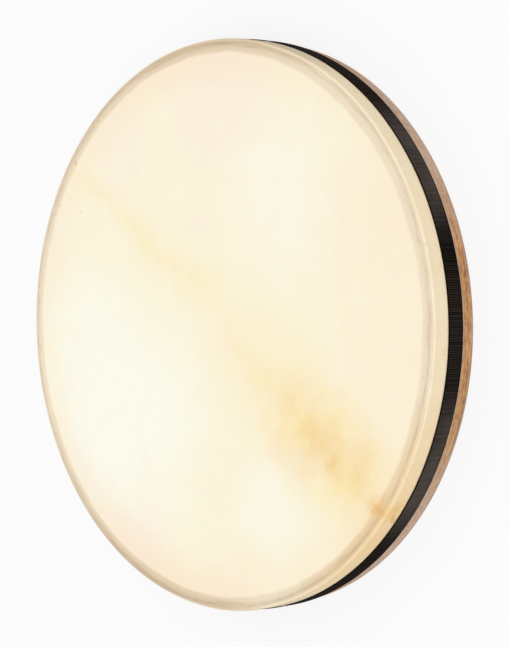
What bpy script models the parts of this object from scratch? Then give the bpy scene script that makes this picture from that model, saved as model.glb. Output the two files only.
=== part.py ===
# Tar, a shallow frame drum with one head: a bent hoop laminated from three plies, a goatskin head
# turned down over the hoop and glued to it, and a woven tape over the skin's cut edge.
# Metres, +Z up. The drum lies on its rear edge with the head on top. The origin is on the drum's
# axis, in the plane of the rear edge. +X is the side that stands uppermost when the drum is held up.

import bmesh
import bpy
from math import cos, degrees, pi, radians, sin, tan
from mathutils import Matrix, Vector

# Hoop
HOOP_RADIUS = 0.2483            # outer radius of the wood
HOOP_DEPTH = 0.0500             # rear edge to the top of the bearing edge
PLY_THICKNESS = 0.0032          # one bent strip of wood
GLUE_LINE = 0.0003              # clearance between the plies, and in their scarf joints
BEARING_ROUND = 0.0026          # outer round of the edge that the skin is pulled over
BEARING_BEVEL = radians(12.0)   # the edge falls away inwards, so the skin rests on its crest
HAND_ROUND = 0.0016             # round of the inner corners, where the hand holds the hoop
REAR_ROUND = 0.0011             # round of the outer corner at the rear edge
SCARF_SLOPE = 8.0               # length of a scarf joint for each unit of ply thickness
SCARF_AT = {                    # where each ply's ends meet, spread round the hoop
    "hoop_outer_ply": radians(64.0),
    "hoop_core_ply": radians(184.0),
    "hoop_inner_ply": radians(304.0),
}

# Head
SKIN_THICKNESS = 0.0006
SKIN_SEAT = 0.0003              # glue clearance between the wood and the skin
SKIN_LAP = 0.0320               # how far the skin is turned down the outside of the hoop

# Tape
TAPE_WIDTH = 0.0180
TAPE_THICKNESS = 0.0005
TAPE_SEAT = 0.0003              # glue clearance under the tape
TAPE_COVER = 0.0030             # how far the tape reaches past the skin's cut edge
TAPE_LAP = 0.0240               # length of the tape's end that lies over its start
TAPE_RISE = 0.0330              # length over which that end climbs onto the start
TAPE_START = radians(78.0)

# Facets
SEGMENTS = 120                  # steps round the drum, the same for every ring so that they nest
BEARING_STEPS = 6
CORNER_STEPS = 3

WOOD = ((0.445, 0.238, 0.125, 1.0), 0.48, 0.0)
SKIN = ((0.905, 0.800, 0.610, 1.0), 0.52, 0.0)
TAPE = ((0.020, 0.018, 0.019, 1.0), 0.72, 0.0)

SMOOTH_ANGLE = radians(32.0)
STEP_ANGLE = 2.0 * pi / SEGMENTS
PLY_PITCH = PLY_THICKNESS + GLUE_LINE
PLY_NAMES = list(SCARF_AT)

SKIN_INNER = HOOP_RADIUS + SKIN_SEAT
SKIN_OUTER = SKIN_INNER + SKIN_THICKNESS
SKIN_EDGE = HOOP_DEPTH - SKIN_LAP
SKIN_UNDERSIDE = HOOP_DEPTH + SKIN_SEAT
SKIN_TOP = SKIN_UNDERSIDE + SKIN_THICKNESS

TAPE_INNER = SKIN_OUTER + TAPE_SEAT
TAPE_REAR = SKIN_EDGE - TAPE_COVER


def clear_scene():
    for ob in list(bpy.data.objects):
        bpy.data.objects.remove(ob, do_unlink=True)


def new_collection(name):
    collection = bpy.data.collections.new(name)
    bpy.context.scene.collection.children.link(collection)
    return collection


def new_material(name, colour, roughness, metallic):
    material = bpy.data.materials.new(name)
    material.use_nodes = True
    shader = material.node_tree.nodes["Principled BSDF"]
    shader.inputs["Base Color"].default_value = colour
    shader.inputs["Roughness"].default_value = roughness
    shader.inputs["Metallic"].default_value = metallic
    return material


def new_object(name, mesh, collection):
    ob = bpy.data.objects.new(name, mesh)
    collection.objects.link(ob)
    return ob


def fillet(before, corner, after, radius, steps):
    """Points of the arc of this radius that is tangent to both sides of a corner."""
    to_before = (before - corner).normalized()
    to_after = (after - corner).normalized()
    half = to_before.angle(to_after) / 2.0
    start = corner + to_before * (radius / tan(half))
    end = corner + to_after * (radius / tan(half))
    centre = corner + (to_before + to_after).normalized() * (radius / sin(half))
    arm = start - centre
    turn = arm.angle_signed(end - centre)
    points = []
    for step in range(steps + 1):
        swing = Matrix.Rotation(-turn * step / steps, 2)
        points.append(centre + swing @ arm)
    return points


def rounded_outline(corners):
    """Closed outline through corners given as (radial, height, round, steps)."""
    points = []
    for index, (radial, height, radius, steps) in enumerate(corners):
        corner = Vector((radial, height))
        if radius == 0.0:
            points.append(corner)
            continue
        before = Vector(corners[index - 1][:2])
        after = Vector(corners[(index + 1) % len(corners)][:2])
        points.extend(fillet(before, corner, after, radius, steps))
    return points


def profile_mesh(name, points, closed):
    """A profile in the XZ plane, running down its outer side."""
    edges = [(index, index + 1) for index in range(len(points) - 1)]
    if closed:
        edges.append((len(points) - 1, 0))
    mesh = bpy.data.meshes.new(name)
    mesh.from_pydata([(point.x, 0.0, point.y) for point in points], edges, [])
    return mesh


def turned(name, points, closed, collection):
    """A piece turned round the drum's axis."""
    ob = new_object(name, profile_mesh(name, points, closed), collection)
    screw = ob.modifiers.new("Turn", "SCREW")
    screw.axis = "Z"
    screw.angle = 2.0 * pi
    screw.steps = SEGMENTS
    screw.render_steps = SEGMENTS
    screw.use_merge_vertices = True
    screw.merge_threshold = 0.00001
    return ob


def settle(ob, material):
    """Makes the modifiers real, then shades the piece smooth up to its true edges."""
    evaluated = ob.evaluated_get(bpy.context.evaluated_depsgraph_get())
    mesh = bpy.data.meshes.new_from_object(evaluated)
    mesh.name = ob.name
    ob.modifiers.clear()
    ob.data = mesh
    mesh.materials.clear()
    mesh.materials.append(material)
    mesh.shade_smooth()
    mesh.set_sharp_from_angle(angle=SMOOTH_ANGLE)


def bearing_height(radial):
    """Height of the bevelled bearing edge, which is tangent to the round at its crest."""
    corner_rise = BEARING_ROUND * (tan(BEARING_BEVEL) + 1.0 / cos(BEARING_BEVEL) - 1.0)
    return HOOP_DEPTH + corner_rise - (HOOP_RADIUS - radial) * tan(BEARING_BEVEL)


def ply_outline(index):
    """Section of one ply: outer side down, rear edge in, inner side up, bearing edge out."""
    outer = HOOP_RADIUS - index * PLY_PITCH
    inner = outer - PLY_THICKNESS
    outermost = index == 0
    innermost = index == len(PLY_NAMES) - 1
    bearing = BEARING_ROUND if outermost else 0.0
    rear = REAR_ROUND if outermost else 0.0
    hand = HAND_ROUND if innermost else 0.0
    return rounded_outline([
        (outer, bearing_height(outer), bearing, BEARING_STEPS),
        (outer, 0.0, rear, CORNER_STEPS),
        (inner, 0.0, hand, CORNER_STEPS),
        (inner, bearing_height(inner), hand, CORNER_STEPS),
    ])


def scarf_cutter(name, radius, angle, collection):
    """A thin blade that parts a ply at a long slant, as wide as the glue in the joint."""
    length = PLY_THICKNESS * SCARF_SLOPE
    slant = Vector((PLY_THICKNESS, length)).normalized()
    reach = 3.0 * length
    mesh = bpy.data.meshes.new(name)
    blade = bmesh.new()
    bmesh.ops.create_cube(blade, size=1.0)
    bmesh.ops.scale(blade, vec=(GLUE_LINE, reach, 2.0 * HOOP_DEPTH), verts=blade.verts)
    turn = Vector((0.0, 1.0)).angle_signed(slant)
    bmesh.ops.rotate(blade, matrix=Matrix.Rotation(-turn, 3, "Z"), verts=blade.verts)
    blade.to_mesh(mesh)
    blade.free()
    cutter = new_object(name, mesh, collection)
    cutter.location = (radius * cos(angle), radius * sin(angle), HOOP_DEPTH / 2.0)
    cutter.rotation_euler = (0.0, 0.0, angle)
    cutter.hide_render = True
    cutter.display_type = "WIRE"
    return cutter


def build_hoop(parts, cutters, wood):
    plies = []
    for index, name in enumerate(PLY_NAMES):
        ply = turned(name, ply_outline(index), True, parts)
        middle = HOOP_RADIUS - index * PLY_PITCH - PLY_THICKNESS / 2.0
        cutter = scarf_cutter(name + "_scarf", middle, SCARF_AT[name], cutters)
        cut = ply.modifiers.new("Scarf", "BOOLEAN")
        cut.operation = "DIFFERENCE"
        cut.object = cutter
        plies.append(ply)
    bpy.context.view_layer.update()
    for ply in plies:
        settle(ply, wood)
    return plies


def skin_outline():
    """Half section of the head: out across the face, over the edge and down, and back inside."""
    outer_round = BEARING_ROUND + SKIN_SEAT + SKIN_THICKNESS
    inner_round = BEARING_ROUND + SKIN_SEAT
    face_centre = Vector((0.0, SKIN_TOP))
    outer_corner = Vector((SKIN_OUTER, SKIN_TOP))
    outer_edge = Vector((SKIN_OUTER, SKIN_EDGE))
    inner_edge = Vector((SKIN_INNER, SKIN_EDGE))
    inner_corner = Vector((SKIN_INNER, SKIN_UNDERSIDE))
    back_centre = Vector((0.0, SKIN_UNDERSIDE))
    points = [face_centre]
    points += fillet(face_centre, outer_corner, outer_edge, outer_round, BEARING_STEPS)
    points += [outer_edge, inner_edge]
    points += fillet(inner_edge, inner_corner, back_centre, inner_round, BEARING_STEPS)
    points.append(back_centre)
    return points


def build_head(parts, skin):
    head = turned("skin_head", skin_outline(), False, parts)
    bpy.context.view_layer.update()
    settle(head, skin)
    return head


def tape_radius(travel, climb_start):
    """Inner radius of the tape: on the skin, then climbing onto the tape's own start."""
    share = min(max((travel - climb_start) / (TAPE_RISE / TAPE_INNER), 0.0), 1.0)
    eased = share * share * (3.0 - 2.0 * share)
    return TAPE_INNER + eased * (TAPE_THICKNESS + TAPE_SEAT)


def tape_stations():
    """Angles from the tape's start to its end, on the same steps as the rings below it."""
    full = 2.0 * pi + TAPE_LAP / TAPE_INNER
    first = (int(TAPE_START / STEP_ANGLE) + 1) * STEP_ANGLE - TAPE_START
    stations = [0.0]
    travel = first
    while travel < full - STEP_ANGLE / 4.0:
        stations.append(travel)
        travel += STEP_ANGLE
    stations.append(full)
    return stations


def build_tape(parts, cloth):
    climb_start = 2.0 * pi - TAPE_RISE / TAPE_INNER
    ribbon = bmesh.new()
    path = []
    for travel in tape_stations():
        radius = tape_radius(travel, climb_start)
        angle = TAPE_START + travel
        path.append(ribbon.verts.new((radius * cos(angle), radius * sin(angle), TAPE_REAR)))
    edges = [ribbon.edges.new(pair) for pair in zip(path, path[1:])]
    grown = bmesh.ops.extrude_edge_only(ribbon, edges=edges)["geom"]
    raised = [item for item in grown if isinstance(item, bmesh.types.BMVert)]
    bmesh.ops.translate(ribbon, vec=(0.0, 0.0, TAPE_WIDTH), verts=raised)
    ribbon.normal_update()
    inward = [face for face in ribbon.faces if face.normal.xy.dot(face.calc_center_median().xy) < 0.0]
    bmesh.ops.reverse_faces(ribbon, faces=inward)
    mesh = bpy.data.meshes.new("edge_tape")
    ribbon.to_mesh(mesh)
    ribbon.free()
    tape = new_object("edge_tape", mesh, parts)
    weight = tape.modifiers.new("Weave thickness", "SOLIDIFY")
    weight.thickness = TAPE_THICKNESS
    weight.offset = 1.0
    weight.use_even_offset = True
    bpy.context.view_layer.update()
    settle(tape, cloth)
    return tape


def main():
    clear_scene()
    parts = new_collection("tar")
    cutters = new_collection("tar_cutters")
    wood = new_material("hoop_wood", *WOOD)
    skin = new_material("goatskin", *SKIN)
    cloth = new_material("woven_tape", *TAPE)

    pieces = build_hoop(parts, cutters, wood)
    pieces.append(build_head(parts, skin))
    pieces.append(build_tape(parts, cloth))

    drum = bpy.data.objects.new("tar_axis", None)
    parts.objects.link(drum)
    for piece in pieces:
        piece.parent = drum
    print("Tar: outer diameter %.1f mm, depth %.1f mm, bearing bevel %.0f degrees" % (
        (TAPE_INNER + TAPE_THICKNESS) * 2000.0, SKIN_TOP * 1000.0, degrees(BEARING_BEVEL)))


main()
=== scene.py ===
import math
from types import SimpleNamespace

import bmesh
import bpy
import numpy as np
from mathutils import Matrix, Vector


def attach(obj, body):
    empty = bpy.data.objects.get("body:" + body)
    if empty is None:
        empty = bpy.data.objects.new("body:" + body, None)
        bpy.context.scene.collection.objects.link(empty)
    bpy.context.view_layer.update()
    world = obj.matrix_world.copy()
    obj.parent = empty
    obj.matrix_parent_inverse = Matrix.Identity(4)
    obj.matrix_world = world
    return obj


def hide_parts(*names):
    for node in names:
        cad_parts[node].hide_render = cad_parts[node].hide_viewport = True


# Looks of a tar, a shallow frame drum: goatskin head, hoop of three bent plies, woven tape.
# Metres. The drum lies on its rear edge, +Z is out through the head.
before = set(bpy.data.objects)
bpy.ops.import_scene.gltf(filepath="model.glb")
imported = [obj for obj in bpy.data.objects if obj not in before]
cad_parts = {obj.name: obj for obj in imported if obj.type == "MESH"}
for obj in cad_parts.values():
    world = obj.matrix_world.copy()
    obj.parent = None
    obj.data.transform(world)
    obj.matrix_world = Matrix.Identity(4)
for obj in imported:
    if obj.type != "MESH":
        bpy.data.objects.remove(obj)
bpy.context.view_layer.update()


def addObject(name, data):
    thing = bpy.data.objects.new(name, data)
    bpy.context.scene.collection.objects.link(thing)
    return thing


# camera, at the photograph's angle

cameraView = {
    "place": (0.03183, -1.25845, 1.25465),
    "right": (-0.009828, -0.705992, -0.708145),
    "up": (0.999792, 0.005553, -0.019414),
    "lens": 110.89,  # mm on a 36 mm sensor, along the picture's long side
}

cameraData = bpy.data.cameras.new("photoCamera")
cameraData.lens = cameraView["lens"]
cameraData.sensor_width = 36.0
cameraData.clip_start = 0.05
cameraData.clip_end = 60.0
camera = addObject("photoCamera", cameraData)
viewRight = Vector(cameraView["right"]).normalized()
viewUp = Vector(cameraView["up"]).normalized()
viewBack = viewRight.cross(viewUp).normalized()
turned = Matrix((viewRight, viewBack.cross(viewRight), viewBack)).transposed().to_4x4()
camera.matrix_world = Matrix.Translation(cameraView["place"]) @ turned
bpy.context.scene.camera = camera
print("camera set")


# small helpers for meshes

def gridFaces(rows, columns, closeColumns=False):
    # quads of a grid of points that is numbered row by row
    i = np.arange(rows - 1)[:, None]
    j = np.arange(columns if closeColumns else columns - 1)[None, :]
    nextRow, nextColumn = (i + 1) * columns, (j + 1) % columns
    quads = [i * columns + j, i * columns + nextColumn, nextRow + nextColumn, nextRow + j]
    return np.stack(quads, -1).reshape(-1, 4).tolist()


def around(radial, angle, height):
    return np.stack([radial * np.cos(angle), radial * np.sin(angle), height], -1)


def stripMesh(name, points):
    # a closed section carried along a strip, with a face at each end
    rows, columns = points.shape[:2]
    faces = gridFaces(rows, columns, closeColumns=True)
    faces.append(list(range(columns)))
    faces.append([(rows - 1) * columns + k for k in reversed(range(columns))])
    mesh = bpy.data.meshes.new(name)
    mesh.from_pydata(points.reshape(-1, 3).tolist(), [], faces)
    return mesh


def smoothShare(value, low, high):
    share = np.clip((value - low) / (high - low), 0.0, 1.0)
    return share * share * (3.0 - 2.0 * share)


def fadingShare(value, low, high):
    return smoothShare(-value, -high, -low)


def wander(angle, seed, waves, reach):
    # a smooth closed wobble round the drum, from a few waves of set phase
    total = np.zeros_like(angle)
    for index, count in enumerate(waves):
        phase = math.fmod(12.9898 * (seed + 1) + 78.233 * (index + 1), 2.0 * math.pi)
        total += np.sin(count * angle + phase)
    return reach * total / len(waves)


def keepOn(mesh, name, values, kind="FLOAT_VECTOR", field="vector"):
    # a place of the piece's own, such as along the strip, or a number, for its material to read
    layer = mesh.attributes.new(name, kind, "POINT")
    layer.data.foreach_set(field, np.asarray(values, np.float32).ravel())


def finishMesh(mesh, sharpFrom):
    # faces turned outward, and shaded smooth up to an angle in degrees
    shell = bmesh.new()
    shell.from_mesh(mesh)
    bmesh.ops.recalc_face_normals(shell, faces=shell.faces)
    shell.to_mesh(mesh)
    shell.free()
    mesh.shade_smooth()
    mesh.set_sharp_from_angle(angle=math.radians(sharpFrom))


def filletArc(before, corner, after, radius, steps):
    before, corner, after = np.array(before, float), np.array(corner, float), np.array(after, float)
    toBefore = (before - corner) / np.linalg.norm(before - corner)
    toAfter = (after - corner) / np.linalg.norm(after - corner)
    half = math.acos(np.clip(toBefore @ toAfter, -1.0, 1.0)) / 2.0
    centre = corner + (toBefore + toAfter) / np.linalg.norm(toBefore + toAfter) * radius / math.sin(half)
    arm = corner + toBefore * radius / math.tan(half) - centre
    last = corner + toAfter * radius / math.tan(half) - centre
    turn = math.atan2(arm[0] * last[1] - arm[1] * last[0], arm @ last)
    points = []
    for k in range(steps + 1):
        c, s = math.cos(turn * k / steps), math.sin(turn * k / steps)
        points.append(centre + np.array([arm[0] * c - arm[1] * s, arm[0] * s + arm[1] * c]))
    return points


# small helpers for materials

work = {}  # the node tree that these helpers add to


def newMaterial(name):
    material = bpy.data.materials.new(name)
    material.use_nodes = True
    work["tree"] = material.node_tree
    return material, material.node_tree.nodes["Principled BSDF"]


def addNode(kind):
    return work["tree"].nodes.new("ShaderNode" + kind)


def feed(socket, value):
    # a socket takes another node's output, or a plain number or colour
    if isinstance(value, bpy.types.NodeSocket):
        work["tree"].links.new(value, socket)
    elif isinstance(value, (tuple, list)) and len(value) == 3 and socket.type == "RGBA":
        socket.default_value = (*value, 1.0)
    else:
        socket.default_value = value


def maths(operation, a, b=0.0, c=0.0, clamp=False):
    node = addNode("Math")
    node.operation = operation
    node.use_clamp = clamp
    for socket, value in zip(node.inputs, (a, b, c)):
        feed(socket, value)
    return node.outputs[0]


def plus(a, b):
    return maths("ADD", a, b)


def minus(a, b):
    return maths("SUBTRACT", a, b)


def times(a, b, clamp=False):
    return maths("MULTIPLY", a, b, clamp=clamp)


def timesPlus(a, b, c, clamp=False):
    # a times b, and c on top
    return maths("MULTIPLY_ADD", a, b, c, clamp)


def centred(value):
    return minus(value, 0.5)


def wave(value):
    # a sine, brought to 0 to 1
    return timesPlus(maths("SINE", value), 0.5, 0.5)


def vectors(operation, a, b=(0.0, 0.0, 0.0), out=0):
    node = addNode("VectorMath")
    node.operation = operation
    feed(node.inputs[0], a)
    feed(node.inputs["Scale"] if operation == "SCALE" else node.inputs[1], b)
    return node.outputs[out]


def stretched(place, by):
    return vectors("MULTIPLY", place, by)


def shifted(place, jitter, by):
    return vectors("ADD", place, stretched(jitter, by))


def noise(place, scale, detail=3.0, roughness=0.5, distortion=0.0, colour=False):
    node = addNode("TexNoise")
    feed(node.inputs["Vector"], place)
    feed(node.inputs["Scale"], scale)
    feed(node.inputs["Detail"], detail)
    feed(node.inputs["Roughness"], roughness)
    feed(node.inputs["Distortion"], distortion)
    return node.outputs["Color" if colour else "Fac"]


def jitterOf(place, scale, detail, roughness):
    # noise that moves a place to and fro
    return vectors("SUBTRACT", noise(place, scale, detail, roughness, colour=True), (0.5, 0.5, 0.5))


def cells(place, scale):
    node = addNode("TexVoronoi")
    feed(node.inputs["Vector"], place)
    feed(node.inputs["Scale"], scale)
    return node.outputs["Distance"]


def between(value, low, high, toLow=0.0, toHigh=1.0):
    # smooth step from low to high
    node = addNode("MapRange")
    node.interpolation_type = "SMOOTHSTEP"
    for socket, number in zip(node.inputs, (value, low, high, toLow, toHigh)):
        feed(socket, number)
    return node.outputs[0]


def nearLine(off, reach, full):
    # whole within full of the line, and gone at reach
    return between(maths("ABSOLUTE", off), reach, full)


def mixColour(share, a, b, blend="MIX"):
    node = addNode("Mix")
    node.data_type = "RGBA"
    node.blend_type = blend
    feed(node.inputs["Factor"], share)
    feed(node.inputs[6], a)
    feed(node.inputs[7], b)
    return node.outputs[2]


def shaded(colour, share, tint=(1.0, 1.0, 1.0)):
    # made darker or lighter by a share that differs from place to place
    return mixColour(1.0, colour, vectors("SCALE", tint, share), "MULTIPLY")


def ramp(value, stops):
    # colours by a value from 0 to 1
    node = addNode("ValToRGB")
    elements = node.color_ramp.elements
    while len(elements) < len(stops):
        elements.new(0.5)
    for element, (place, colour) in zip(elements, stops):
        element.position = place
        element.color = (*colour, 1.0)
    feed(node.inputs["Fac"], value)
    return node.outputs["Color"]


def curve(value, low, high, points):
    # a drawn curve: value from low to high gives the heights of points spread over 0 to 1
    node = addNode("FloatCurve")
    drawn = node.mapping.curves[0].points
    while len(drawn) < len(points):
        drawn.new(0.5, 0.5)
    for point, (along, height) in zip(drawn, points):
        point.location = (along, height)
        point.handle_type = "AUTO_CLAMPED"
    node.mapping.update()
    span = maths("DIVIDE", minus(value, low), high - low, clamp=True)
    feed(node.inputs["Value"], span)
    return node.outputs[0]


def bump(height, depth, strength):
    node = addNode("Bump")
    feed(node.inputs["Strength"], strength)
    feed(node.inputs["Distance"], depth)
    feed(node.inputs["Height"], height)
    return node.outputs["Normal"]


def finishShader(shader, colour, rough, normal, specular):
    feed(shader.inputs["Base Color"], colour)
    feed(shader.inputs["Roughness"], rough)
    feed(shader.inputs["Normal"], normal)
    feed(shader.inputs["Specular IOR Level"], specular)


def mixShaders(share, a, b):
    node = addNode("MixShader")
    for socket, value in zip(node.inputs, (share, a, b)):
        feed(socket, value)
    return node.outputs[0]


def attributeOf(name, output):
    node = addNode("Attribute")
    node.attribute_name = name
    return node.outputs[output]


def objectPlace():
    return addNode("TexCoord").outputs["Object"]


def parts(vector):
    node = addNode("SeparateXYZ")
    feed(node.inputs[0], vector)
    return node.outputs


def spot(place, centre, reach, share=1.0, whole=0.15):
    # a soft spot, whole in the inner part of its reach
    away = vectors("DISTANCE", place, centre, out=1)
    return between(away, reach, reach * whole, 0.0, share)


def zonesRound(radius, height, zones):
    # soft zones round the drum: degrees, reach and share
    place = objectPlace()
    total = 0.0
    for degrees, reach, share in zones:
        turn = math.radians(degrees)
        centre = (radius * math.cos(turn), radius * math.sin(turn), height)
        total = maths("MAXIMUM", total, spot(place, centre, reach, share, 0.2))
    return total


# hoop: three plies, each a strip bent round until its scarfed ends meet

hoop = {
    "radius": 0.2483,  # outside of the wood
    "depth": 0.05,  # rear edge to the crest of the bearing edge
    "ply": 0.0032,
    "glue": 0.0003,
    "bearingRound": 0.0026,
    "bearingBevel": math.radians(12.0),
    "bearingArris": 0.00015,  # corners that meet the next ply
    "handRound": 0.0016,
    "rearRound": 0.0011,
    "rearArris": 0.00025,
    "scarfSlope": 8.0,
    "scarfAt": {"outerPly": 64.0, "corePly": 184.0, "innerPly": 304.0},
    "scarfGap": 0.00012,  # glue in the joint
    "stations": 960,
    "roundSteps": 8,
    "arrisSteps": 2,
    "fillStep": 0.0045,  # between points on the flats
    "sanded": ((3, 5, 8, 13), 0.00006),  # waves in a turn, and depth, of the hand sanding
    "grainApart": 0.31,  # so that each ply shows other grain
    "sharpFrom": 42.0,
}

woodFinish = {
    "dark": (0.32, 0.148, 0.062),
    "mid": (0.505, 0.234, 0.082),
    "light": (0.65, 0.372, 0.166),
    "pore": (0.15, 0.074, 0.038),
    "amber": (0.63, 0.33, 0.07),  # small golden figures, and paler rosy ones
    "rosy": (0.59, 0.33, 0.2),
    "greyWearAndReflection": (0.57, 0.428, 0.336),  # where the stain has worn off; also the tone of the painted reflections
    "glue": (0.55, 0.39, 0.245),  # thin run of glue beside the tape
    "rearEdgeDark": (0.19, 0.135, 0.098),  # darker towards the rear edge
    "held": [(224.0, 0.135, 1.0), (311.0, 0.135, 1.0)],  # painted reflections of the surroundings: degrees, reach, share
    "heldHeight": 0.008,
    # heights at which the rubbed borders, the glue and the darkening at the rear edge begin and are whole
    "rearBorder": (0.0042, 0.0004),
    "frontBorder": (0.0098, 0.0142),
    "glueRun": (0.012, 0.0132),
    "corner": (0.003, 0.0008),
    "leanReach": 0.02,
    "ringsTurn": 1700.0,  # radians of the growth rings in a metre
    "specular": 0.45,
}

# how fine each figure of the wood is, along the strip and across it: noise cells in a metre
woodFigures = {
    "lean": (9.0, 9.0),
    "bands": (30.0, 330.0),
    "mottle": (120.0, 260.0),
    "fibres": (60.0, 2100.0),
    "pores": (170.0, 900.0),
    "poreZones": (13.0, 150.0),
    "figure": (110.0, 300.0),
    "blotch": (26.0, 70.0),
    "wear": (210.0, 480.0),
}


def bearingHeight(radial):
    bevel = hoop["bearingBevel"]
    rise = hoop["bearingRound"] * (math.tan(bevel) + 1.0 / math.cos(bevel) - 1.0)
    return hoop["depth"] + rise - (hoop["radius"] - radial) * math.tan(bevel)


def plySides(index):
    outer = hoop["radius"] - index * (hoop["ply"] + hoop["glue"])
    return outer, outer - hoop["ply"]


def plySection(index):
    # outer side down, rear edge in, inner side up, bearing edge out, as (radial, height)
    outer, inner = plySides(index)
    outermost, innermost = index == 0, index == 2
    corners = [
        ((outer, bearingHeight(outer)), hoop["bearingRound"] if outermost else hoop["bearingArris"]),
        ((outer, 0.0), hoop["rearRound"] if outermost else hoop["rearArris"]),
        ((inner, 0.0), hoop["handRound"] if innermost else hoop["rearArris"]),
        ((inner, bearingHeight(inner)), hoop["handRound"] if innermost else hoop["bearingArris"]),
    ]
    points = []
    for k, (corner, radius) in enumerate(corners):
        steps = hoop["roundSteps"] if radius > hoop["rearArris"] else hoop["arrisSteps"]
        arc = filletArc(corners[k - 1][0], corner, corners[(k + 1) % 4][0], radius, steps)
        if points:
            start, end = points[-1], arc[0]
            fill = max(1, round(np.linalg.norm(end - start) / hoop["fillStep"]))
            points += [start + (end - start) * n / fill for n in range(1, fill)]
        points += arc
    return np.array(points)


def bentStrip(name, index):
    section = plySection(index)
    outer, inner = plySides(index)
    middle = (outer + inner) / 2.0
    outward = (section[:, 0] - inner) / (outer - inner)
    gap = hoop["scarfGap"] * math.hypot(hoop["scarfSlope"], 1.0) / middle
    travel = np.linspace(gap / 2.0, 2.0 * math.pi - gap / 2.0, hoop["stations"] + 1)
    lean = hoop["scarfSlope"] * hoop["ply"] / middle * (outward - 0.5)
    travelled = travel[:, None] + lean[None, :]
    angle = math.radians(hoop["scarfAt"][name]) + travelled
    # hand sanding leaves both sides a little hollow here and there
    hollow = np.abs(wander(angle, index, *hoop["sanded"]))
    radial = section[None, :, 0] - hollow * np.where(outward > 0.5, 1.0, -1.0)[None, :]
    height = np.broadcast_to(section[None, :, 1], radial.shape)
    mesh = stripMesh(name, around(radial, angle, height))
    strip = np.stack([travelled * middle, height, radial - middle], -1).reshape(-1, 3)
    keepOn(mesh, "stripPlace", strip + np.array([0.0, 0.0, hoop["grainApart"] * index]))
    finishMesh(mesh, hoop["sharpFrom"])
    return addObject(name, mesh)


def figured(place, figure, detail, roughness=0.5, distortion=0.0):
    # noise drawn out along the strip
    along, across = woodFigures[figure]
    return noise(stretched(place, (along, across, across)), 1.0, detail, roughness, distortion)


def woodTone(place, height, depth):
    # streaks of early and late wood run along the strip, and lean and break as sawn grain does
    lean = times(centred(figured(place, "lean", 2.0)), woodFinish["leanReach"])
    across = plus(timesPlus(depth, 1.7, height), lean)
    leaning = vectors("ADD", place, vectors("SCALE", (0.0, 1.0, 0.6), lean))
    bands = figured(leaning, "bands", 4.0, 0.62)
    rings = wave(times(across, woodFinish["ringsTurn"]))
    tone = plus(times(bands, 0.44), times(rings, 0.1))
    tone = timesPlus(figured(leaning, "mottle", 3.0, 0.58, 0.6), 0.46, tone)
    stops = [(0.39, woodFinish["dark"]), (0.49, woodFinish["mid"]), (0.6, woodFinish["light"])]
    return ramp(tone, stops), figured(leaning, "fibres", 4.0, 0.62)


def woodWear(colour, place, height, depth, blotch):
    # painted reflections of the surroundings on the outside, and a little on the edges
    outside = nearLine(minus(depth, hoop["ply"] / 2.0), 0.001, 0.0003)
    mostly = timesPlus(outside, 0.7, 0.3)
    held = zonesRound(hoop["radius"], woodFinish["heldHeight"], woodFinish["held"])
    ragged = between(figured(place, "wear", 4.0, 0.65), 0.36, 0.64)
    held = times(times(held, mostly), timesPlus(ragged, 0.6, 0.34))
    colour = mixColour(held, colour, woodFinish["greyWearAndReflection"])
    # both borders of the bare strip are rubbed grey, and glue has run out from under the tape
    rear = times(between(height, *woodFinish["rearBorder"]), mostly)
    front = times(between(height, *woodFinish["frontBorder"]), outside)
    border = times(maths("MAXIMUM", rear, front), timesPlus(ragged, 0.6, 0.25))
    colour = mixColour(border, colour, woodFinish["greyWearAndReflection"])
    smear = between(timesPlus(ragged, 0.001, height), *woodFinish["glueRun"])
    smear = times(smear, between(blotch, 0.3, 0.56, 0.2, 0.7))
    colour = mixColour(times(smear, outside), colour, woodFinish["glue"])
    # darker towards the rear edge of the outside
    corner = times(between(height, *woodFinish["corner"]), timesPlus(ragged, 0.45, 0.3))
    return mixColour(times(corner, outside), colour, woodFinish["rearEdgeDark"])


def makeWood():
    material, shader = newMaterial("hoopWood")
    place = attributeOf("stripPlace", "Vector")
    height, depth = parts(place)[1:3]
    colour, fibres = woodTone(place, height, depth)
    colour = shaded(colour, between(fibres, 0.3, 0.72, 0.76, 1.2))
    # open pores, short dark flecks that lie along the bend
    poreZones = between(figured(place, "poreZones", 2.0), 0.36, 0.62, 0.2, 1.0)
    pores = times(between(figured(place, "pores", 1.0, 0.4), 0.61, 0.7), poreZones)
    colour = mixColour(times(pores, 0.62), colour, woodFinish["pore"])
    figure = figured(place, "figure", 2.0)
    colour = mixColour(between(figure, 0.58, 0.67, 0.0, 0.9), colour, woodFinish["amber"])
    colour = mixColour(between(figure, 0.4, 0.3, 0.0, 0.65), colour, woodFinish["rosy"])
    # the stain has taken unevenly, warmer in one place and greyer in the next
    blotch = figured(place, "blotch", 3.0, 0.6)
    colour = shaded(colour, between(blotch, 0.28, 0.72, 0.86, 1.16), (1.0, 0.98, 0.95))
    colour = woodWear(colour, place, height, depth, blotch)
    rough = plus(between(fibres, 0.25, 0.75, 0.5, 0.66), times(pores, 0.18))
    relief = bump(minus(times(fibres, 0.6), pores), 0.00006, 0.55)
    finishShader(shader, colour, rough, relief, woodFinish["specular"])
    return material


hoopWood = makeWood()
plyNodes = {"outerPly": "hoop_outer_ply", "corePly": "hoop_core_ply", "innerPly": "hoop_inner_ply"}
for index, name in enumerate(plyNodes):
    ply = bentStrip(name, index)
    ply.data.materials.append(hoopWood)
    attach(ply, "root")
    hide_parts(plyNodes[name])
print("hoop bent and joined,", len(plyNodes), "plies")


# head: one goatskin, flat on the face, turned over the edge and down the outside

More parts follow.
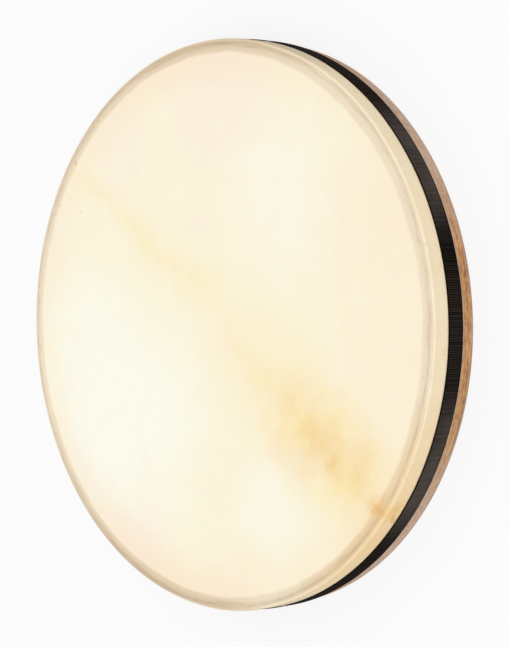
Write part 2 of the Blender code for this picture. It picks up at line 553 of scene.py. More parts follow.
head = {
    "thickness": 0.0006,
    "seat": 0.0003,
    "lap": 0.032,
    "columns": 480,
    "roundSteps": 12,
    # rings of points on the face and under it: from, to and step, closer towards the rim
    "faceRings": [(0.003, 0.2325, 0.0045), (0.234, 0.2425, 0.0012), (0.243, 0.2455, 0.0005)],
    "underRings": [(0.244, 0.233, -0.0022), (0.23, 0.003, -0.009), (0.003, 0.002, -0.001)],
    "sideRings": 22,
    "insideRings": 10,
    "arris": (0.00012, 0.00025),  # of the cut edge, through the skin and up it
    "faceDip": 0.00012,  # how uneven the stretched face is
    "dipFades": (0.23, 0.244),
    # slow waves of the face: along x, along y and phase
    "faceWaves": [(31.0, 17.0, 1.3), (-22.0, 38.0, 4.1), (57.0, -9.0, 2.2)],
    "groove": 0.00005,  # hollow just inside the crest, where the skin leaves the wood
    "grooveWidth": 0.0011,
    "grooveAt": 0.2448,  # along the skin, from the middle of the face
    "grooveOut": 0.0018,  # further out on one side, by degrees: middle and reach
    "grooveOutAt": (302.0, 34.0),
    "ridgeAt": 0.2484,  # the line where the skin is bent tightest, with a painted highlight along it
    "ridgeSwing": 0.0009,
    "ridgeIn": 0.0012,  # further in on one side, by degrees: middle and reach
    "ridgeInAt": (70.0, 38.0),
    "bandAt": 0.2384,  # the wood lies close behind the skin from here on
    "bandSwing": 0.0003,
    "bandSwingAt": 232.0,
    "pucker": 0.00016,  # gathers of the lap, strongest near its cut edge
    "puckerFades": (0.019, 0.04),
    "drawnIn": 0.00004,  # of the side, between the crest and the lap
    "drawnFrom": (0.034, 0.042),
    "drawnTo": (0.044, 0.0475),
    # wobbles round the drum: seed, waves in a turn and reach
    "creaseWobble": (5, (5, 9, 16, 29), 0.0007),
    "grooveWobble": (6, (7, 12, 21, 34), 0.4),
    "puckerWobble": (7, (61, 83, 104, 137), 1.0),
    "ridgeWobble": (8, (6, 13, 22, 37), 0.0004),
    "pullWobble": (9, (9, 17, 26, 41), 0.1),
    "drawnWobble": (11, (9, 14, 23, 37), 0.00004),
    "bandWobble": (12, (5, 11, 18, 31), 0.0006),
    "sharpFrom": 50.0,
}

skinFinish = {
    "cream": (0.935, 0.872, 0.66),  # the ground of the face
    "clear": (0.94, 0.935, 0.835),
    "milky": (0.938, 0.897, 0.772),
    "rosy": (0.937, 0.822, 0.7),
    "buff": (0.935, 0.815, 0.62),
    "flush": (0.915, 0.745, 0.565),  # beside the rim
    "honey": (0.932, 0.772, 0.425),  # haze along the spine
    "tan": (0.915, 0.7, 0.4),
    "amber": (0.85, 0.57, 0.215),  # knots in the haze
    "bandPale": (0.842, 0.722, 0.535),  # painted shade of the skin over the wood of the bearing edge, where the wood keeps light from shining through; also pale patches of the lap
    # deeper painted shade towards the crest; also the tone of the hair pores
    "bandDeep": (0.77, 0.655, 0.468),
    # tone of the painted shade in the creases, and of the small flecks
    "crease": (0.6, 0.48, 0.335),
    # painted highlight along the ridge
    "crest": (0.925, 0.812, 0.61),
    "lap": (0.928, 0.772, 0.52),
    "pulled": (0.87, 0.805, 0.77),  # multiplies the rim where the skin was pulled hardest
    "golden": (1.0, 0.9, 0.74),  # multiplies the rim where the spine runs over it
    "goldenAt": ((-0.162, -0.185, 0.0), 0.14),
    "sideShadeTint": (0.74, 0.725, 0.745),  # multiplies the side where painted shade darkens it
    "sideShade": [(345.0, 0.095, 1.0), (186.0, 0.095, 1.0)],  # zones of painted shade on the side: degrees, reach, share
    "sideShadeHeight": 0.042,
    "stain": (0.7, 0.39, 0.12),
    "speck": (0.42, 0.35, 0.28),
    "fleshDark": (0.84, 0.74, 0.61),  # multiply the inside
    "fleshPale": (0.98, 0.91, 0.81),
    "cloudDrift": (0.075, 0.075, 0.0),  # how far the clouds, the spine and the marks stray
    "spineDrift": (0.022, 0.022, 0.0),
    "spineCurl": (0.01, 0.01, 0.0),
    "markDrift": (0.007, 0.007, 0.007),
    "strokesApart": 0.0024,
    "specular": 0.26,
}

# where the rim's tones begin and are whole: from the band's inner border, the crease or the ridge
rimFades = {
    "buff": (-0.0334, -0.003),
    "flush": (-0.042, -0.003),
    "band": (-0.0026, 0.001),
    "deep": (-0.006, 0.0004),
    "pulledCrease": (-0.005, 0.0006),
    "smudge": (0.0036, 0.0002),
    "stroke": (0.0014, 0.0002),
    "secondStroke": (0.0012, 0.0002),
    "lap": (-0.0005, 0.0003),
    # of the painted highlight along the ridge
    "crest": (0.0009, 0.0002),
    "pulledLap": (0.0016, 0.0076),
    "sideShade": (-0.0006, 0.003),
    "glueStain": (0.0385, 0.0335),  # heights
}

# clouds of other tones on the face: tone, middle, reach and share
skinClouds = [
    ("clear", (-0.085, 0.125), 0.165, 0.92),
    ("clear", (0.0, 0.17), 0.1, 0.48),
    ("clear", (-0.158, -0.07), 0.066, 0.58),
    ("milky", (0.115, -0.085), 0.11, 0.72),
    ("milky", (0.1, 0.13), 0.06, 0.25),
    ("rosy", (0.2, -0.005), 0.09, 0.85),
    ("rosy", (0.155, 0.125), 0.07, 0.55),
    ("buff", (0.085, -0.19), 0.095, 0.8),
    ("buff", (-0.02, -0.2), 0.09, 0.6),
    ("rosy", (0.075, 0.228), 0.06, 0.6),
    ("rosy", (-0.195, 0.1), 0.055, 0.7),
    ("buff", (-0.218, -0.035), 0.05, 0.6),
    ("rosy", (0.082, 0.03), 0.035, 0.55),
]

# how hard the skin was pulled over the edge: degrees round the drum, and share
skinPull = [
    (0.0, 0.88), (15.0, 0.88), (30.0, 0.56), (60.0, 0.26), (90.0, 0.02), (105.0, 0.02),
    (120.0, 0.32), (135.0, 0.54), (150.0, 0.92), (165.0, 0.95), (180.0, 0.9), (195.0, 0.1),
    (210.0, 0.36), (240.0, 0.12), (270.0, 0.1), (300.0, 0.1), (330.0, 0.14), (345.0, 0.74),
]

# marks of the skin's own: tone, middle, reach and share
skinMarks = [
    ("amber", (-0.147, -0.189, 0.0509), 0.016, 0.55),
    ("stain", (-0.149, -0.1905, 0.0509), 0.0085, 0.66),
    ("stain", (-0.1419, -0.1944, 0.0509), 0.006, 0.32),
    ("amber", (-0.1513, -0.198, 0.0428), 0.012, 0.88),
    ("stain", (-0.1572, -0.1934, 0.0351), 0.005, 0.85),
    ("stain", (-0.15, -0.199, 0.0385), 0.0035, 0.45),
    ("stain", (-0.1553, -0.1949, 0.0384), 0.0055, 0.6),
    ("amber", (-0.1446, -0.2029, 0.041), 0.0085, 0.6),
    ("stain", (-0.1709, -0.1814, 0.0377), 0.0018, 0.6),
    ("amber", (-0.0195, -0.2484, 0.0385), 0.006, 0.3),
    ("speck", (0.105, 0.1783, 0.0509), 0.0018, 0.3),
    ("speck", (-0.15, -0.1835, 0.0509), 0.002, 0.5),
    ("speck", (-0.1124, -0.1665, 0.0509), 0.0018, 0.35),
    ("speck", (0.1514, 0.1861, 0.0509), 0.0034, 0.5),
]

# the mark of the animal's back runs right across, first as a faint line and then as a golden
# haze: how far it swings to one side, how wide and how strong it is, from the rim at +X+Y to
# the rim at -X-Y
spine = {
    "towards": (-0.65, -0.76),
    "aside": (0.76, -0.65),
    "from": -0.25,
    "to": 0.25,
    "swing": [
        (0.0, -0.014), (0.06, -0.011), (0.1, -0.007), (0.14, -0.003), (0.22, 0.0),
        (0.3, 0.001), (0.35, 0.006), (0.4, 0.012), (0.44, 0.016), (0.48, 0.012),
        (0.52, 0.006), (0.6, 0.004), (0.7, 0.009), (0.85, 0.01), (1.0, 0.012),
    ],
    "width": [
        (0.0, 0.011), (0.25, 0.011), (0.34, 0.0125), (0.42, 0.018), (0.47, 0.023),
        (0.53, 0.012), (0.62, 0.01), (0.78, 0.014), (1.0, 0.013),
    ],
    "strength": [
        (0.0, 0.26), (0.1, 0.29), (0.2, 0.33), (0.27, 0.4), (0.32, 0.34), (0.38, 0.37), (0.43, 0.34),
        (0.47, 0.2), (0.51, 0.12), (0.58, 0.15), (0.64, 0.24), (0.78, 0.3), (1.0, 0.28),
    ],
    "core": [
        (0.0, 0.12), (0.3, 0.14), (0.4, 0.08), (0.54, 0.0), (0.6, 0.18), (0.66, 0.14),
        (0.72, 0.05), (1.0, 0.05),
    ],
    "haze": [
        (0.0, 0.0), (0.46, 0.02), (0.54, 0.2), (0.62, 0.36), (0.7, 0.62), (0.78, 0.86),
        (0.86, 1.0), (1.0, 1.0),
    ],
    "hazeAside": 0.01,
    "hazeWidth": 0.074,
    "swingDrawn": 10.0,  # lengths are drawn this much larger on a curve from 0 to 1
    "widthDrawn": 20.0,
    # darker knots: middle, reach and share
    "knots": [
        ((-0.066, -0.09), 0.016, 0.26),
        ((-0.084, -0.112), 0.018, 0.38),
        ((-0.095, -0.122), 0.017, 0.36),
        ((-0.1145, -0.139), 0.02, 0.44),
        ((-0.1125, -0.1385), 0.009, 0.45),
        ((-0.1, -0.152), 0.012, 0.22),
        ((-0.131, -0.168), 0.02, 0.4),
        ((-0.147, -0.188), 0.018, 0.6),
    ],
}

skinTop = hoop["depth"] + head["seat"] + head["thickness"]
skinOuter = hoop["radius"] + head["seat"] + head["thickness"]
skinTurn = hoop["bearingRound"] + head["seat"] + head["thickness"]
skinCut = hoop["depth"] - head["lap"]


def ringsOf(runs):
    return np.concatenate([np.arange(*run) for run in runs])


def headSection():
    # face, over the edge, down the side, then back up inside and under the face
    top, outer, cut = skinTop, skinOuter, skinCut
    under, inner = top - head["thickness"], outer - head["thickness"]
    arrisIn, arrisUp = head["arris"]
    face = [(r, top) for r in ringsOf(head["faceRings"])]
    overEdge = filletArc((0.0, top), (outer, top), (outer, cut), skinTurn, head["roundSteps"])
    down = np.linspace(overEdge[-1][1], cut + arrisUp, head["sideRings"])[1:]
    side = [(outer, z) for z in down]
    cutEdge = [(outer - arrisIn, cut), (inner + arrisIn, cut)]
    up = np.linspace(cut + arrisUp, top - skinTurn, head["insideRings"])
    inside = [(inner, z) for z in up]
    innerTurn = skinTurn - head["thickness"]
    back = filletArc((inner, cut), (inner, under), (0.0, under), innerTurn, head["roundSteps"])[1:]
    backFace = [(r, under) for r in ringsOf(head["underRings"])]
    outsideCount = len(face) + len(overEdge) + len(side) + 1  # with half of the cut edge
    return np.array(face + overEdge + side + cutEdge + inside + back + backFace), outsideCount


def girthOf(radial, height):
    # way along the skin from the middle of the face, over the edge and down the side
    edge, level = skinOuter - skinTurn, skinTop - skinTurn
    over = np.clip(np.arctan2(radial - edge, height - level), 0.0, math.pi / 2.0)
    down = np.where(radial > edge, np.maximum(level - height, 0.0), 0.0)
    return np.minimum(radial, edge) + skinTurn * over + down


def bellRound(angle, at):
    # 1 at a middle, fading to both sides: degrees of the middle and of the reach
    middle, reach = np.radians(at)
    return np.exp(-((angle - middle) / reach) ** 2)


def makeSkinMesh():
    section, outsideCount = headSection()
    ringRadial, ringHeight = section[:, 0][:, None], section[:, 1][:, None]
    angle = np.arange(head["columns"]) * 2.0 * math.pi / head["columns"]
    radial = np.repeat(ringRadial, head["columns"], 1)
    height = np.repeat(ringHeight, head["columns"], 1)
    # the stretched face dips a little here and there, more towards its middle
    x, y = radial * np.cos(angle), radial * np.sin(angle)
    waves = sum(np.sin(alongX * x + alongY * y + phase) for alongX, alongY, phase in head["faceWaves"])
    onFace = fadingShare(radial, *head["dipFades"]) * (height > hoop["depth"])
    height -= onFace * head["faceDip"] * (0.5 + waves / 6.0)
    # the hollow inside the crest wanders and comes and goes
    crease = head["grooveAt"] + head["grooveOut"] * bellRound(angle, head["grooveOutAt"])
    crease = crease + wander(angle, *head["creaseWobble"])
    groove = np.exp(-((ringRadial - crease[None, :]) / head["grooveWidth"]) ** 2)
    grooved = groove * (ringHeight > hoop["depth"] + 0.0004)
    height -= head["groove"] * grooved * (0.6 + wander(angle, *head["grooveWobble"]))[None, :]
    # gathers in the lap
    lapDepth = fadingShare(height, *head["puckerFades"]) * (radial > hoop["radius"] + 0.0001)
    radial -= lapDepth * head["pucker"] * np.abs(wander(angle, *head["puckerWobble"]))[None, :]
    # the side is drawn in slightly between the crest and the lap
    drawn = smoothShare(height, *head["drawnFrom"]) * fadingShare(height, *head["drawnTo"])
    drawn = drawn * (ringRadial > hoop["radius"])
    radial -= drawn * (head["drawnIn"] + wander(angle, *head["drawnWobble"]))[None, :]

    rows, columns = radial.shape
    vertices = around(radial, angle, height).reshape(-1, 3).tolist()
    faces = gridFaces(rows, columns, closeColumns=True)
    quads = len(faces)
    topMiddle, backMiddle, lastRow = len(vertices), len(vertices) + 1, (rows - 1) * columns
    vertices += [(0.0, 0.0, float(height[0].mean())), (0.0, 0.0, float(height[-1].mean()))]
    faces += [[(k + 1) % columns, k, topMiddle] for k in range(columns)]
    faces += [[lastRow + k, lastRow + (k + 1) % columns, backMiddle] for k in range(columns)]
    mesh = bpy.data.meshes.new("goatskinHead")
    mesh.from_pydata(vertices, [], faces)
    # ways along the skin: from the inner border of the dark band, from the ridge and from the crease
    girth = girthOf(section[:, 0], section[:, 1])[:, None]
    ridge = head["ridgeAt"] - head["ridgeSwing"] * np.cos(2.0 * angle) + wander(angle, *head["ridgeWobble"])
    ridge = ridge - head["ridgeIn"] * bellRound(angle, head["ridgeInAt"])
    bandSwing = head["bandSwing"] * np.cos(angle - math.radians(head["bandSwingAt"]))
    fromBand = girth - head["bandAt"] - bandSwing - wander(angle, *head["bandWobble"])
    edge = np.stack([fromBand, girth - ridge[None, :], girth - crease[None, :]], -1).reshape(-1, 3)
    keepOn(mesh, "edgePlace", np.concatenate([edge, [[-1.0, -1.0, -1.0]] * 2]))
    pull = np.interp(np.degrees(angle), *zip(*skinPull), period=360.0) + wander(angle, *head["pullWobble"])
    pull = np.concatenate([np.tile(np.clip(pull, 0.0, 1.0), rows), [0.0, 0.0]])
    keepOn(mesh, "pull", pull, "FLOAT", "value")
    finishMesh(mesh, head["sharpFrom"])
    # outside and inside of the skin look different
    side = np.zeros(len(mesh.polygons), np.int32)
    side[:quads] = np.arange(quads) // columns >= outsideCount
    side[quads + columns:] = 1
    mesh.polygons.foreach_set("material_index", side)
    return mesh


def onSkin(colour, tone, share):
    return mixColour(share, colour, skinFinish[tone])


def tinted(colour, tone, share):
    return mixColour(share, colour, mixColour(1.0, colour, skinFinish[tone], "MULTIPLY"))


def skinShared():
    # the places and the noises that the layers of the skin read
    at = SimpleNamespace(place=objectPlace(), pull=attributeOf("pull", "Fac"))
    at.flat = stretched(at.place, (1.0, 1.0, 0.0))
    at.height = parts(at.place)[2]
    at.fromBand, at.fromRidge, at.fromCrease = parts(attributeOf("edgePlace", "Vector"))[:3]
    at.swirl = jitterOf(at.place, 15.0, 5.0, 0.62)
    at.curl = jitterOf(at.place, 60.0, 4.0, 0.6)
    at.drifting = shifted(at.flat, at.swirl, skinFinish["cloudDrift"])
    at.fineCloud = noise(at.place, 38.0, 5.0, 0.62)
    at.rough = noise(at.place, 95.0, 5.0, 0.65)
    at.fray = centred(at.rough)
    at.patchy = centred(noise(at.place, 30.0, 4.0, 0.6))
    return at


def skinGround(at):
    # the ground of the face, with clouds of clearer and warmer skin
    colour = skinFinish["cream"]
    for tone, middle, reach, share in skinClouds:
        colour = onSkin(colour, tone, times(spot(at.drifting, (*middle, 0.0), reach), share))
    colour = onSkin(colour, "rosy", between(at.fineCloud, 0.48, 0.74, 0.0, 0.3))
    return onSkin(colour, "milky", between(at.fineCloud, 0.5, 0.26, 0.0, 0.45))


def alongSpine(along, points):
    return curve(along, spine["from"], spine["to"], points)


def skinSpine(at, colour):
    # a broad haze, a narrow mark in it, and knots
    loose = shifted(at.flat, at.swirl, skinFinish["spineDrift"])
    loose = shifted(loose, at.curl, skinFinish["spineCurl"])
    along = vectors("DOT_PRODUCT", loose, (*spine["towards"], 0.0), out=1)
    aside = vectors("DOT_PRODUCT", loose, (*spine["aside"], 0.0), out=1)
    hazeOff = maths("DIVIDE", maths("ABSOLUTE", minus(aside, spine["hazeAside"])), spine["hazeWidth"])
    haze = times(between(hazeOff, 1.0, 0.0), alongSpine(along, spine["haze"]))
    thick = between(noise(loose, 30.0, 4.0, 0.6), 0.3, 0.68, 0.7, 1.2)
    warm = between(noise(loose, 24.0, 3.0, 0.55), 0.42, 0.62)
    hazeTone = mixColour(warm, skinFinish["honey"], skinFinish["tan"])
    colour = mixColour(times(haze, thick, clamp=True), colour, hazeTone)
    larger = spine["swingDrawn"]
    swing = alongSpine(along, [(a, h * larger + 0.5) for a, h in spine["swing"]])
    swing = maths("DIVIDE", centred(swing), larger)
    larger = spine["widthDrawn"]
    width = alongSpine(along, [(a, h * larger) for a, h in spine["width"]])
    width = maths("DIVIDE", width, larger)
    off = maths("DIVIDE", maths("ABSOLUTE", minus(aside, swing)), width)
    mark = times(between(off, 2.1, 0.0), alongSpine(along, spine["strength"]))
    mark = times(mark, between(at.rough, 0.3, 0.66, 0.6, 1.15))
    core = times(between(off, 0.45, 0.05), alongSpine(along, spine["core"]))
    colour = onSkin(colour, "honey", plus(mark, core))
    broken = between(at.rough, 0.3, 0.6, 0.5, 1.0)
    for middle, reach, share in spine["knots"]:
        knot = times(spot(loose, (*middle, 0.0), reach), share)
        colour = onSkin(colour, "amber", times(knot, broken))
    return colour


def skinBand(at, colour):
    # painted shade: over the wood the skin is darker, as the wood keeps light from shining through it; a
    # clear inner border, deeper towards the crest
    ragged = timesPlus(at.patchy, 0.0036, at.fromBand)
    ragged = timesPlus(at.fray, 0.003, ragged)
    colour = onSkin(colour, "buff", between(ragged, *rimFades["buff"], 0.0, 0.32))
    colour = onSkin(colour, "flush", times(between(ragged, *rimFades["flush"]), times(at.pull, 0.62)))
    band = between(ragged, *rimFades["band"])
    cloudy = timesPlus(noise(at.place, 9.0, 4.0, 0.55), 0.4, 0.72)
    colour = onSkin(colour, "bandPale", times(band, cloudy, clamp=True))
    return onSkin(colour, "bandDeep", between(at.fromCrease, *rimFades["deep"], 0.0, 0.64)), band


def skinCreases(at, colour):
    # painted shade: a smudge, and two broken strokes, where the skin leaves the wood, deeper where the pull
    # is higher
    smudge = nearLine(timesPlus(at.patchy, 0.006, at.fromCrease), *rimFades["smudge"])
    smudgeShare = between(noise(at.place, 26.0, 4.0, 0.6), 0.42, 0.62, 0.0, 0.34)
    colour = onSkin(colour, "crease", times(smudge, smudgeShare))
    stroke = timesPlus(centred(noise(at.place, 42.0, 5.0, 0.7)), 0.0034, at.fromCrease)
    strokeShare = between(noise(at.place, 33.0, 3.0, 0.55), 0.4, 0.6, 0.04, 0.56)
    creased = times(nearLine(stroke, *rimFades["stroke"]), strokeShare)
    second = nearLine(plus(stroke, skinFinish["strokesApart"]), *rimFades["secondStroke"])
    second = times(second, minus(0.42, strokeShare), clamp=True)
    creased = maths("MAXIMUM", creased, second)
    creased = times(creased, between(at.rough, 0.34, 0.6, 0.55, 1.15))
    pulled = times(between(at.fromCrease, *rimFades["pulledCrease"]), at.pull)
    creased = timesPlus(pulled, 0.46, creased, clamp=True)
    return onSkin(colour, "crease", creased)


def skinLap(at, colour, band):
    # past the ridge the lap lies tight on the wood, and along the ridge a highlight is painted, dimmer where
    # the pull is higher
    buff = between(at.fineCloud, 0.4, 0.66, 0.0, 0.4)
    pale = between(at.rough, 0.5, 0.68, 0.0, 0.3)
    lapTone = mixColour(buff, skinFinish["lap"], skinFinish["buff"])
    lapTone = mixColour(pale, lapTone, skinFinish["bandPale"])
    colour = mixColour(between(at.fromRidge, *rimFades["lap"]), colour, lapTone)
    jagged = timesPlus(at.fray, 0.0016, times(at.patchy, 0.0008))
    crest = nearLine(plus(jagged, at.fromRidge), *rimFades["crest"])
    crest = times(crest, between(at.fineCloud, 0.3, 0.62, 0.55, 1.0))
    crest = times(crest, between(at.pull, 0.0, 0.85, 1.0, 0.2))
    colour = onSkin(colour, "crest", crest)
    over = between(at.fromRidge, *rimFades["pulledLap"], 1.0, 0.5)
    colour = tinted(colour, "pulled", times(times(band, at.pull), over))
    colour = tinted(colour, "golden", times(spot(at.drifting, *skinFinish["goldenAt"]), band))
    # painted shade on the side, in two zones round the drum
    sideShade = zonesRound(hoop["radius"], skinFinish["sideShadeHeight"], skinFinish["sideShade"])
    sideShade = times(sideShade, between(at.fromRidge, *rimFades["sideShade"]))
    return tinted(colour, "sideShadeTint", sideShade), crest


def skinMarked(at, colour, band):
    # small brown flecks all along the rim, and glue that shows through beside the tape
    fleck = times(between(noise(at.place, 210.0, 3.0, 0.6), 0.6, 0.72, 0.0, 0.3), band)
    colour = onSkin(colour, "crease", fleck)
    patches = between(noise(at.place, 42.0, 4.0, 0.6), 0.5, 0.66, 0.0, 0.45)
    glueStain = times(between(at.height, *rimFades["glueStain"]), patches)
    colour = onSkin(colour, "tan", glueStain)
    # stains where the spine's mark runs over the edge, a nick at its other end, and specks
    strayed = shifted(at.place, at.curl, skinFinish["markDrift"])
    for tone, middle, reach, share in skinMarks:
        uneven = between(at.rough, 0.3, 0.6, 0.4 * share, share)
        colour = onSkin(colour, tone, times(spot(strayed, middle, reach), uneven))
    return colour


def makeGoatskin(name, flesh=False):
    material, shader = newMaterial(name)
    at = skinShared()
    colour = skinSpine(at, skinGround(at))
    colour, band = skinBand(at, colour)
    colour, crest = skinLap(at, skinCreases(at, colour), band)
    colour = skinMarked(at, colour, band)
    # hair pores in some places, and a few grey specks
    pore = between(cells(at.place, 850.0), 0.3, 0.1)
    poreZone = between(noise(at.place, 12.0, 3.0, 0.6), 0.42, 0.62)
    colour = onSkin(colour, "bandDeep", times(times(pore, poreZone), 0.1))
    speck = between(cells(at.place, 62.0), 0.075, 0.035)
    speck = times(speck, between(noise(at.place, 31.0, 2.0), 0.59, 0.64))
    colour = onSkin(colour, "speck", times(speck, 0.22))

    grain = noise(at.place, 420.0, 4.0, 0.6)
    if flesh:
        # inside: fibrous, duller and warmer
        fibre = noise(stretched(at.place, (70.0, 190.0, 120.0)), 1.0, 5.0, 0.65, 0.6)
        tint = ramp(fibre, [(0.25, skinFinish["fleshDark"]), (0.75, skinFinish["fleshPale"])])
        colour = mixColour(1.0, colour, tint, "MULTIPLY")
        grain = plus(grain, fibre)
    dry = between(timesPlus(pore, 0.15, at.fineCloud), 0.3, 0.75, 0.6, 0.74)
    relief = bump(minus(grain, times(pore, 0.35)), 0.00005, 0.35)
    # the painted highlight line is also made a little glossier
    finishShader(shader, colour, minus(dry, times(crest, 0.14)), relief, skinFinish["specular"])
    return material


skinHead = addObject("goatskinHead", makeSkinMesh())
skinHead.data.materials.append(makeGoatskin("goatskinGrain"))
skinHead.data.materials.append(makeGoatskin("goatskinFlesh", flesh=True))
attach(skinHead, "root")
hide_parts("skin_head")
# it was cut as a round blank, whose radius is the way along the skin to its cut edge
print("skin stretched over the hoop,", len(skinHead.data.polygons), "faces")


# tape: one ribbed woven ribbon with its end lapped over its start

tape = {
    "rear": 0.015,
    "width": 0.018,
    "thickness": 0.0005,
    "inner": 0.2495,
    "seat": 0.0003,
    "lap": 0.024,
    "rise": 0.033,
    "start": 78.0,
    "ribPitch": 0.00198,
    "ribHeight": 0.00016,
    "ribSteps": (0.0, 0.12, 0.32, 0.68, 0.88),  # stations of one rib
    "ribBacks": (0.0, 0.62, 0.97, 0.97, 0.62),  # and their heights: a narrow groove, a round back
    "ribBulge": 0.0001,  # of the ribbon's edges at each rib
    "sway": (3, (4, 7, 11, 19), 0.00018),  # of the ribbon by hand: seed, waves, reach
    "stray": 0.0003,  # how far both may carry an edge
    "selvedge": 0.0011,
    # from a selvedge inwards: place, share of the ribs' height, share of the thickness
    "border": [(0.00006, 0.25, 0.6), (0.0003, 0.35, 0.92)],
    "borderAtSelvedge": [(0.75, 0.3, 0.97), (1.0, 0.45, 0.9), (1.25, 1.0, 1.0)],
    "middle": (0.0028, 7),  # points between: inset from an edge, and count
    "thread": 0.00026,
    "sharpFrom": 70.0,
}

tapeFinish = {
    # the grooves between the ribs, painted dark as shade
    "groove": (0.0014, 0.0009, 0.0007),
    # groove colour in the painted reflections
    "grooveReflected": (0.073, 0.059, 0.051),
    "rib": (0.027, 0.02, 0.015),
    "brown": (0.035, 0.0215, 0.013),
    # rib colour in the painted reflections
    "ribReflected": (0.084, 0.068, 0.059),
    "dust": (0.1, 0.092, 0.085),
    "selvedge": (0.006, 0.0022, 0.0012),
    # painted reflections of the surroundings: degrees, reach, share
    "held": [(242.0, 0.088, 1.0), (268.0, 0.07, 0.08), (302.0, 0.08, 0.95)],
    "specular": 0.02,
}


def ribbonAcross():
    # places across the ribbon from the rear selvedge to the front one, with the share of the
    # ribs' height and of the thickness at each
    border = tape["border"] + [(tape["selvedge"] * s, rib, lift) for s, rib, lift in tape["borderAtSelvedge"]]
    inset, count = tape["middle"]
    middle = [(place, 1.0, 1.0) for place in np.linspace(inset, tape["width"] - inset, count)]
    front = [(tape["width"] - place, rib, lift) for place, rib, lift in reversed(border)]
    return border + middle + front


def makeTapeMesh():
    full = 2.0 * math.pi + tape["lap"] / tape["inner"]
    ribs = round(full * tape["inner"] / tape["ribPitch"])
    share = np.array([rib + step for rib in range(ribs) for step in tape["ribSteps"]] + [float(ribs)])
    back = np.array(list(tape["ribBacks"]) * ribs + [0.0])
    travel = share / ribs * full
    climb = smoothShare(travel, 2.0 * math.pi - tape["rise"] / tape["inner"], 2.0 * math.pi)
    base = tape["inner"] + climb * (tape["thickness"] + tape["seat"])
    outer = base + tape["thickness"]
    angle = math.radians(tape["start"]) + travel
    outside = ribbonAcross()
    first, last = outside[0][0], outside[-1][0]
    across = np.array([place for place, rib, lift in outside] + [last, tape["width"] * 0.5, first])
    # the edges bulge a little at each rib and wander by hand
    bulge = (back - 0.6)[:, None] * tape["ribBulge"]
    columns, turn = len(across), len(outside)
    height = tape["rear"] + across[None, :] + wander(angle, *tape["sway"])[:, None]
    height[:, [0, 1, columns - 1]] -= bulge
    height[:, turn - 2:turn + 1] += bulge
    stray = tape["stray"]
    height = np.clip(height, tape["rear"] - stray, tape["rear"] + tape["width"] + stray)
    radial = np.repeat(base[:, None], columns, 1)
    for k, (place, rib, lift) in enumerate(outside):
        radial[:, k] = base + (outer - base) * lift - tape["ribHeight"] * rib * (1.0 - back)
    radial = np.minimum(radial, outer[:, None])
    mesh = stripMesh("wovenTape", around(radial, angle[:, None], height))
    ribbon = np.broadcast_arrays(share[:, None], across[None, :], radial - tape["inner"])
    keepOn(mesh, "ribbonPlace", np.stack(ribbon, -1))
    finishMesh(mesh, tape["sharpFrom"])
    return mesh


def makeCloth():
    material, shader = newMaterial("wovenCloth")
    place = attributeOf("ribbonPlace", "Vector")
    ribCount, across = parts(place)[:2]
    back = maths("SINE", times(maths("FRACT", ribCount), math.pi))
    # warp threads lie along the ribbon, over one rib and under the next
    perMetre = math.pi / tape["thread"]
    thread = wave(times(across, 2.0 * perMetre))
    odd = times(maths("FLOORED_MODULO", maths("FLOOR", ribCount), 2.0), math.pi)
    overUnder = wave(plus(times(across, perMetre), odd))
    weave = plus(times(thread, 0.6), times(overUnder, 0.4))
    body = objectPlace()
    fuzz = noise(body, 900.0, 3.0, 0.6)
    fade = noise(body, 14.0, 4.0, 0.55)
    # painted shade: the grooves between the ribs are made much darker than the ribs' backs
    tone = times(maths("POWER", back, 3.6), timesPlus(weave, 0.45, 0.55))
    tone = times(tone, between(fade, 0.25, 0.75, 0.7, 1.3))
    # painted reflections of the surroundings: greyer stretches of ribs and grooves
    held = zonesRound(tape["inner"], tape["rear"] + tape["width"] / 2.0, tapeFinish["held"])
    held = times(held, between(fade, 0.3, 0.62, 0.35, 1.0))
    brown = between(noise(body, 9.0, 2.0), 0.48, 0.66)
    ribColour = mixColour(brown, tapeFinish["rib"], tapeFinish["brown"])
    ribColour = mixColour(held, ribColour, tapeFinish["ribReflected"])
    grooveShadeAndReflection = mixColour(held, tapeFinish["groove"], tapeFinish["grooveReflected"])
    colour = mixColour(tone, grooveShadeAndReflection, ribColour)
    # each rib is dyed and worn a little differently, less so in the painted reflections
    darkest, palest = timesPlus(held, 0.28, 0.6), timesPlus(held, -0.34, 1.5)
    ribTone = noise(stretched(place, (0.93, 0.0, 0.0)), 1.0, 1.0)
    colour = shaded(colour, between(ribTone, 0.3, 0.7, darkest, palest))
    half = tape["width"] / 2.0
    fromEdge = minus(half, maths("ABSOLUTE", minus(across, half)))
    selvedge = between(fromEdge, tape["selvedge"] * 1.6, tape["selvedge"] * 0.8)
    colour = mixColour(times(selvedge, 0.92), colour, tapeFinish["selvedge"])
    dust = times(between(fuzz, 0.62, 0.76), between(noise(body, 60.0, 3.0), 0.45, 0.65))
    colour = mixColour(times(dust, 0.35), colour, tapeFinish["dust"])
    relief = bump(plus(times(weave, 0.7), times(fuzz, 0.3)), 0.00007, 0.6)
    finishShader(shader, colour, between(weave, 0.0, 1.0, 0.86, 0.7), relief, tapeFinish["specular"])
    return material


wovenTape = addObject("wovenTape", makeTapeMesh())
wovenTape.data.materials.append(makeCloth())
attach(wovenTape, "root")
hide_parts("edge_tape")
print("tape laid round,", len(wovenTape.data.polygons), "faces")


# floor, light and background

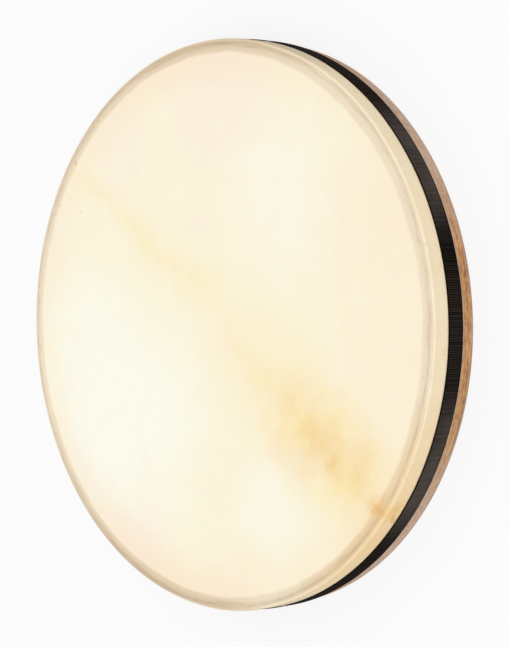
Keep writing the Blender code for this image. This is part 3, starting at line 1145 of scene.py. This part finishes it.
studio = {
    "floorRadius": 14.0,
    "floorHole": 0.243,  # cut out under the hoop, so that the inside is lit from below
    "floorSides": 96,
    "floorDrop": 0.0003,
    "floorTone": (0.7, 0.71, 0.72),  # as it throws light back
    "floorShown": (0.2, 0.2, 0.2),  # as the camera sees it, with the glow
    "floorGlow": (0.768, 0.768, 0.771),
    "background": (0.975, 0.975, 0.978),
    "worldLight": 0.69,
    "key": 1.32,  # sun strength
    "keyFrom": (-0.06, -0.572, 0.818),  # towards the lamp
    "keySoft": 42.0,  # degrees across
}


def seenBy(first, *others):
    # 1 for the rays of these kinds
    rays = addNode("LightPath").outputs
    seen = rays[first]
    for other in others:
        seen = maths("MAXIMUM", rays[other], seen)
    return seen


def makeFloor():
    sides = studio["floorSides"]
    radial = np.array([studio["floorHole"], studio["floorRadius"]])[:, None]
    angle = 2.0 * math.pi * np.arange(sides)[None, :] / sides
    points = around(radial, angle, np.zeros((2, sides)))
    mesh = bpy.data.meshes.new("studioFloor")
    mesh.from_pydata(points.reshape(-1, 3).tolist(), [], gridFaces(2, sides, closeColumns=True))
    if mesh.polygons[0].normal.z < 0.0:
        mesh.flip_normals()
    floor = addObject("studioFloor", mesh)
    floor.location.z = -studio["floorDrop"]
    material, shader = newMaterial("palePaper")
    seen = seenBy("Is Glossy Ray", "Is Camera Ray")
    feed(shader.inputs["Base Color"], mixColour(seen, studio["floorTone"], studio["floorShown"]))
    feed(shader.inputs["Roughness"], 0.9)
    feed(shader.inputs["Specular IOR Level"], 0.0)
    glow = addNode("Emission")
    feed(glow.inputs["Color"], studio["floorGlow"])
    feed(glow.inputs["Strength"], seen)
    both = addNode("AddShader")
    feed(both.inputs[0], shader.outputs["BSDF"])
    feed(both.inputs[1], glow.outputs["Emission"])
    # seen from below the paper is left out, so that the inside of the drum shows
    below = addNode("NewGeometry").outputs["Backfacing"]
    paper = mixShaders(below, both.outputs[0], addNode("BsdfTransparent").outputs[0])
    feed(material.node_tree.nodes["Material Output"].inputs["Surface"], paper)
    mesh.materials.append(material)


def makeWorld():
    world = bpy.data.worlds.new("paleStudio")
    bpy.context.scene.world = world
    world.use_nodes = True
    work["tree"] = world.node_tree
    nodes = world.node_tree.nodes
    lamp, shown = nodes["Background"], addNode("Background")
    feed(lamp.inputs["Color"], (1.0, 1.0, 1.0))
    feed(lamp.inputs["Strength"], studio["worldLight"])
    feed(shown.inputs["Color"], studio["background"])
    seen = seenBy("Is Transmission Ray", "Is Glossy Ray", "Is Camera Ray")
    backdrop = mixShaders(seen, lamp.outputs[0], shown.outputs[0])
    feed(nodes["World Output"].inputs["Surface"], backdrop)


def makeKey():
    lampData = bpy.data.lights.new("softKey", "SUN")
    lampData.energy = studio["key"]
    lampData.angle = math.radians(studio["keySoft"])
    lamp = addObject("softKey", lampData)
    lamp.rotation_mode = "QUATERNION"
    lamp.rotation_quaternion = Vector(studio["keyFrom"]).to_track_quat("Z", "Y")


makeFloor()
makeWorld()
makeKey()
bpy.context.scene.view_settings.view_transform = "Standard"
print("studio set")

bpy.context.view_layer.update()
